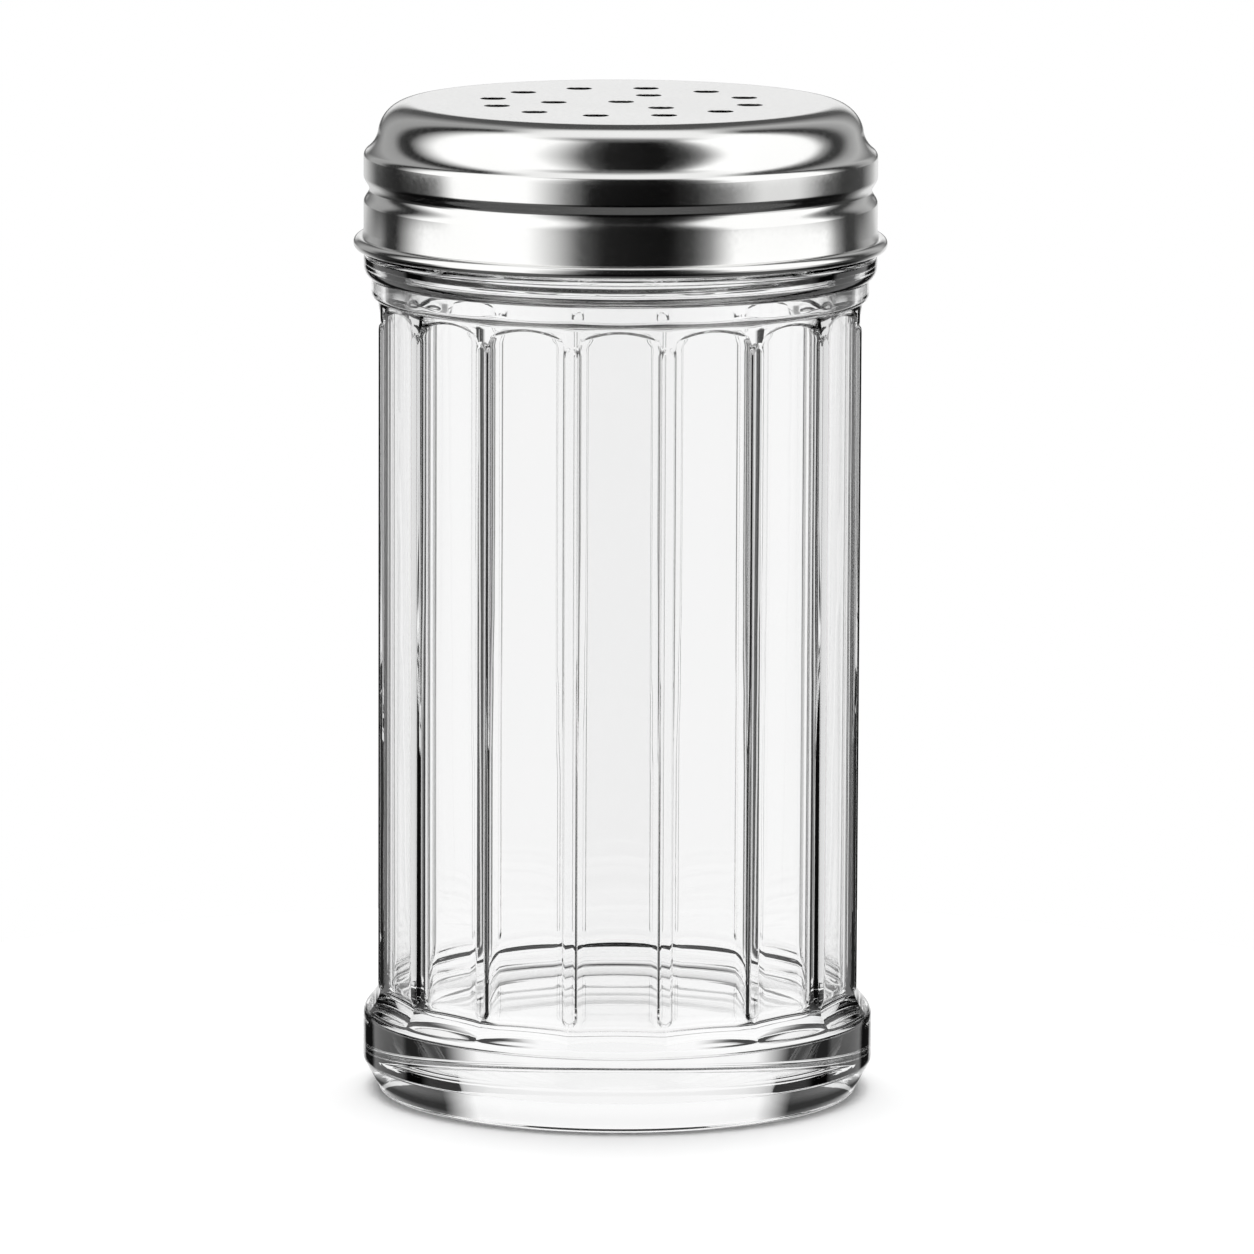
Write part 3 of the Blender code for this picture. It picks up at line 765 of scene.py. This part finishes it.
def polished_steel(tone):
    """Polished sheet steel: bright and a little uneven, with painted shade, near black, in the walls of its
    holes.
    """
    material, shader, nodes, links = new_material("polished_steel")
    shader.inputs["Metallic"].default_value = 1.0
    play = add_play(nodes, links, swell_scale=45.0, grain_scale=1400.0)
    dull = [channel * 0.95 for channel in tone]
    place = nodes.new("ShaderNodeTexCoord")
    axes = nodes.new("ShaderNodeSeparateXYZ")
    links.new(place.outputs["Object"], axes.inputs["Vector"])
    reach = nodes.new("ShaderNodeVectorMath")
    reach.operation = "LENGTH"
    flat = nodes.new("ShaderNodeVectorMath")
    flat.operation = "MULTIPLY"
    flat.inputs[1].default_value = (1.0, 1.0, 0.0)
    links.new(place.outputs["Object"], flat.inputs[0])
    links.new(flat.outputs["Vector"], reach.inputs[0])
    height, top = axes.outputs["Z"], LID_HIGH.z
    # Painted shade: a mask of the hole walls, by depth below the top and distance from the axis, darkens the
    # colour to near black
    below = spread(nodes, links, height, 1.0, 0.0, top - HOLE_WALL_TOP[1], top - HOLE_WALL_TOP[0])
    above = spread(nodes, links, height, 0.0, 1.0, top - HOLE_WALL_END[1], top - HOLE_WALL_END[0])
    within = spread(nodes, links, reach.outputs["Value"], 1.0, 0.0, *HOLE_FIELD)
    hole_shade_mask = measure(nodes, links, "MULTIPLY", measure(nodes, links, "MULTIPLY", below, above), within)
    painted_hole_shade = nodes.new("ShaderNodeMix")
    painted_hole_shade.data_type = "RGBA"
    painted_hole_shade.inputs["B"].default_value = (0.02, 0.02, 0.02, 1.0)
    links.new(hole_shade_mask, painted_hole_shade.inputs["Factor"])
    links.new(ramp(nodes, links, play.outputs["Swell"], dull, tone), painted_hole_shade.inputs["A"])
    links.new(painted_hole_shade.outputs["Result"], shader.inputs["Base Color"])
    links.new(spread(nodes, links, play.outputs["Grain"], low=0.09, high=0.15), shader.inputs["Roughness"])
    add_bump(nodes, links, shader, play.outputs["Swell"], strength=0.15, depth=0.05 * MM)
    return material


def by_glass(nodes, links):
    """Whether a ray comes from the smooth glass, and not from the steel."""
    path = nodes.new("ShaderNodeLightPath")
    depth, singular = path.outputs["Transmission Depth"], path.outputs["Is Singular Ray"]
    return measure(nodes, links, "MAXIMUM", depth, singular)


def white_floor():
    """The white floor: it keeps the jar's soft shadow, which the glass sees as a painted dark ring, and is
    painted dark in the steel.
    """
    material, shader, nodes, links = new_material("white_floor")
    shader.inputs["Base Color"].default_value = (0.92, 0.92, 0.92, 1.0)
    shader.inputs["Roughness"].default_value = 1.0
    shader.inputs["Specular IOR Level"].default_value = 0.0
    path = nodes.new("ShaderNodeLightPath")
    white = nodes.new("ShaderNodeEmission")
    place = nodes.new("ShaderNodeTexCoord")
    reach = nodes.new("ShaderNodeVectorMath")
    reach.operation = "LENGTH"
    links.new(place.outputs["Object"], reach.inputs[0])
    # Painted shadow: what the glass sees of the floor is an emission, white but for a dark ring round the
    # foot
    under = spread(nodes, links, reach.outputs["Value"], 1.0, PAINTED_SHADOW_LEVEL, *SHADOW_RING_INNER)
    around = spread(nodes, links, reach.outputs["Value"], PAINTED_SHADOW_LEVEL, 1.0, *SHADOW_RING_OUTER)
    seen = measure(nodes, links, "MAXIMUM", under, around)
    from_glass = by_glass(nodes, links)
    # Painted dark reflection: the steel sees the floor as a low emission instead of the lit white floor
    links.new(blend(nodes, links, from_glass, PAINTED_DARK_FLOOR_IN_STEEL, seen), white.inputs["Strength"])
    glossy, transmitted = path.outputs["Is Glossy Ray"], path.outputs["Is Transmission Ray"]
    mirrored = measure(nodes, links, "MAXIMUM", glossy, transmitted)
    plain = nodes.new("ShaderNodeMixShader")
    links.new(mirrored, plain.inputs["Fac"])
    links.new(shader.outputs["BSDF"], plain.inputs[1])
    links.new(white.outputs["Emission"], plain.inputs[2])
    behind = nodes.new("ShaderNodeNewGeometry")
    clear = nodes.new("ShaderNodeBsdfTransparent")
    mix = nodes.new("ShaderNodeMixShader")
    far = spread(nodes, links, reach.outputs["Value"], 0.0, 1.0, *FLOOR_END)
    passed = measure(nodes, links, "MULTIPLY", far, from_glass)
    links.new(measure(nodes, links, "MAXIMUM", behind.outputs["Backfacing"], passed), mix.inputs["Fac"])
    links.new(plain.outputs["Shader"], mix.inputs[1])
    links.new(clear.outputs["BSDF"], mix.inputs[2])
    links.new(mix.outputs["Shader"], nodes["Material Output"].inputs["Surface"])
    return material


def light_bands(nodes, links, turn, bands):
    """Upright bands of light around the tent, each as degrees to the right of the camera and a level."""
    share = measure(nodes, links, "MULTIPLY_ADD", turn, 1 / FULL_TURN)
    share.node.inputs[2].default_value = 0.5
    node = nodes.new("ShaderNodeValToRGB")
    stops = node.color_ramp.elements
    while len(stops) < len(bands):
        stops.new(0.5)
    for stop, (degrees, level) in zip(stops, bands):
        stop.position = 0.5 + degrees / 360
        stop.color = (level, level, level, 1.0)
    links.new(share, node.inputs["Fac"])
    return node.outputs["Color"]


def tent_cloth():
    """The light tent: what the steel mirrors, and the white backdrop between black flags for the glass."""
    material, shader, nodes, links = new_material("tent_cloth")
    nodes.remove(shader)
    place = nodes.new("ShaderNodeTexCoord")
    unit = nodes.new("ShaderNodeVectorMath")
    unit.operation = "NORMALIZE"
    links.new(place.outputs["Object"], unit.inputs[0])
    axes = nodes.new("ShaderNodeSeparateXYZ")
    links.new(unit.outputs["Vector"], axes.inputs["Vector"])
    right, back, up = axes.outputs
    front = measure(nodes, links, "MULTIPLY", back, -1.0)
    turn = measure(nodes, links, "ARCTAN2", right, front)

    low = light_bands(nodes, links, turn, STEEL_LOW)
    high = light_bands(nodes, links, turn, STEEL_HIGH)
    roof = spread(nodes, links, back, ROOF_FRONT_LEVEL, 1.0, *ROOF_FRONT)
    beside = spread(nodes, links, back, 0.0, 1.0, *WINDOW_SIDE)
    window = measure(nodes, links, "MULTIPLY", beside, spread(nodes, links, up, 0.0, 1.0, *WINDOW_SILL))
    floor = spread(nodes, links, up, STEEL_FLOOR_LEVEL, 1.0, *STEEL_FLOOR_ENDS)
    mirrored = blend(nodes, links, spread(nodes, links, up, 0.0, 1.0, *STEEL_HIGH_STARTS), low, high)
    mirrored = blend(nodes, links, spread(nodes, links, up, 0.0, 1.0, *STEEL_TOP_STARTS), mirrored, roof)
    mirrored = blend(nodes, links, window, mirrored, WINDOW_LEVEL)
    mirrored = measure(nodes, links, "MULTIPLY", mirrored, floor)

    through = light_bands(nodes, links, turn, GLASS_LOW)
    middle = light_bands(nodes, links, turn, GLASS_MIDDLE)
    high = light_bands(nodes, links, turn, GLASS_HIGH)
    parts = ((middle, GLASS_MIDDLE_STARTS), (high, GLASS_HIGH_STARTS), (1.0, GLASS_TOP_STARTS))
    for above, starts in parts:
        through = blend(nodes, links, spread(nodes, links, up, 0.0, 1.0, *starts), through, above)
    light = nodes.new("ShaderNodeEmission")
    links.new(blend(nodes, links, by_glass(nodes, links), mirrored, through), light.inputs["Strength"])
    links.new(light.outputs["Emission"], nodes["Material Output"].inputs["Surface"])
    material.cycles.emission_sampling = "NONE"
    return material


class SPICEJAR_OT_glass(bpy.types.Operator):
    """Models the pressed-glass jar in place of its plain solid"""

    bl_idname = "object.spice_jar_glass"
    bl_label = "Glass Jar"
    bl_options = {"REGISTER", "UNDO"}

    def execute(self, context):
        size = context.scene.spice_jar_glass
        at = glass_lines(size)
        jar = draw_section("pressed_glass_jar", glass_section(size, at))
        half_sector = math.pi / size.panels
        rib_zone = (size.rib_width / 2 + RIB_MARGIN) / at.land
        zones = ((half_sector - rib_zone, PANEL_COLUMNS), (rib_zone, RIB_COLUMNS))
        for turn, steps in (*zones, *zones[::-1]):
            spin(steps, turn)
        bpy.ops.mesh.select_all(action="SELECT")
        spin(size.panels - 1, FULL_TURN - 2 * half_sector, copies=True)
        close_mesh()
        press_glass(jar, size, at)
        finish_piece(jar, clear_glass(size.tint), "glass_jar", "jar")
        return {"FINISHED"}


class SPICEJAR_OT_lid(bpy.types.Operator):
    """Models the perforated steel lid in place of its plain solid"""

    bl_idname = "object.spice_jar_lid"
    bl_label = "Perforated Lid"
    bl_options = {"REGISTER", "UNDO"}

    def execute(self, context):
        size = context.scene.spice_jar_lid
        lid = draw_section("polished_lid", lid_section(size))
        spin(LID_COLUMNS, FULL_TURN)
        bpy.ops.mesh.select_all(action="SELECT")
        bpy.ops.mesh.remove_doubles(threshold=MERGE)
        bpy.ops.mesh.select_all(action="DESELECT")
        bpy.ops.mesh.select_non_manifold()
        bpy.ops.mesh.edge_face_add()
        close_mesh()
        punch_holes(lid, size)
        finish_piece(lid, polished_steel(size.steel), "perforated_lid", "lid")
        return {"FINISHED"}


class SPICEJAR_OT_stage(bpy.types.Operator):
    """Sets up the white floor, the light tent and the camera"""

    bl_idname = "object.spice_jar_stage"
    bl_label = "Stage"
    bl_options = {"REGISTER", "UNDO"}

    def execute(self, context):
        size = context.scene.spice_jar_stage
        camera = self.add_camera(context, size)
        self.add_floor(size)
        self.add_tent(size, camera)
        self.add_lamp(context, size)
        self.add_world(context, size)
        context.scene.view_settings.view_transform = "Standard"
        return {"FINISHED"}

    def add_camera(self, context, size):
        """The camera at the photograph's place, with a long lens."""
        bpy.ops.object.camera_add()
        camera = context.object
        camera.name = "camera"
        camera.data.sensor_width = 36.0
        camera.data.lens = size.focal_length
        camera.data.clip_end = 20.0
        place = Matrix.Translation((size.camera_side, -size.camera_distance, size.camera_height))
        tilt = Matrix.Rotation(RIGHT_ANGLE - size.camera_pitch, 4, "X")
        camera.matrix_world = place @ tilt @ Matrix.Rotation(size.camera_roll, 4, "Z")
        context.scene.camera = camera
        return camera

    def add_floor(self, size):
        """A round white floor just under the foot."""
        bpy.ops.object.select_all(action="DESELECT")
        place = (0.0, 0.0, JAR_LOW.z - size.floor_gap)
        bpy.ops.mesh.primitive_circle_add(
            vertices=96, radius=size.floor_radius, fill_type="NGON", location=place
        )
        floor = bpy.context.object
        floor.name = "floor"
        floor.data.materials.append(white_floor())

    def add_tent(self, size, camera):
        """A light tent that turns with the camera, seen only in the steel and through the glass."""
        bpy.ops.object.select_all(action="DESELECT")
        bpy.ops.mesh.primitive_uv_sphere_add(segments=96, ring_count=48, radius=size.tent_radius)
        tent = bpy.context.object
        tent.name = "light_tent"
        bpy.ops.object.shade_smooth()
        tent.data.materials.append(tent_cloth())
        tent.visible_camera = False
        tent.visible_diffuse = False
        tent.visible_shadow = False
        facing = tent.constraints.new("LOCKED_TRACK")
        facing.target = camera
        facing.track_axis = "TRACK_NEGATIVE_Y"
        facing.lock_axis = "LOCK_Z"

    def add_lamp(self, context, size):
        """A broad lamp overhead that draws the jar's close shadow on the floor."""
        bpy.ops.object.light_add(type="AREA", location=(0.0, size.lamp_back, size.lamp_height))
        lamp = context.object
        lamp.name = "overhead_lamp"
        lamp.data.size = size.lamp_size
        lamp.data.energy = size.lamp_power
        lamp.visible_camera = False
        lamp.visible_glossy = False
        lamp.visible_transmission = False

    def add_world(self, context, size):
        """A white world, dimmer on the floor than in the picture's background."""
        world = bpy.data.worlds.new("studio")
        world.use_nodes = True
        nodes, links = world.node_tree.nodes, world.node_tree.links
        path = nodes.new("ShaderNodeLightPath")
        level = spread(nodes, links, path.outputs["Is Camera Ray"], size.world_level, 1.0, 0.0, 1.0)
        links.new(level, nodes["Background"].inputs["Strength"])
        nodes["Background"].inputs["Color"].default_value = (1.0, 1.0, 1.0, 1.0)
        context.scene.world = world


class VIEW3D_PT_spice_jar(bpy.types.Panel):
    """Lists the pieces of the jar"""

    bl_label = "Spice Jar"
    bl_space_type = "VIEW_3D"
    bl_region_type = "UI"
    bl_category = "Spice Jar"

    def draw(self, context):
        for operator in OPERATORS:
            self.layout.operator(operator.bl_idname)


SETTINGS = {
    "spice_jar_glass": GlassSettings,
    "spice_jar_lid": LidSettings,
    "spice_jar_stage": StageSettings,
}
OPERATORS = (SPICEJAR_OT_glass, SPICEJAR_OT_lid, SPICEJAR_OT_stage)


def register():
    """Adds the settings, the operators and the panel to Blender."""
    for name, settings in SETTINGS.items():
        bpy.utils.register_class(settings)
        setattr(bpy.types.Scene, name, bpy.props.PointerProperty(type=settings))
    for operator in OPERATORS:
        bpy.utils.register_class(operator)
    bpy.utils.register_class(VIEW3D_PT_spice_jar)


def unregister():
    """Takes them out again."""
    bpy.utils.unregister_class(VIEW3D_PT_spice_jar)
    for operator in reversed(OPERATORS):
        bpy.utils.unregister_class(operator)
    for name, settings in SETTINGS.items():
        delattr(bpy.types.Scene, name)
        bpy.utils.unregister_class(settings)


def main():
    """Makes every piece and the stage."""
    register()
    bpy.ops.object.spice_jar_glass()
    bpy.ops.object.spice_jar_lid()
    bpy.ops.object.spice_jar_stage()


if __name__ == "__main__":
    main()
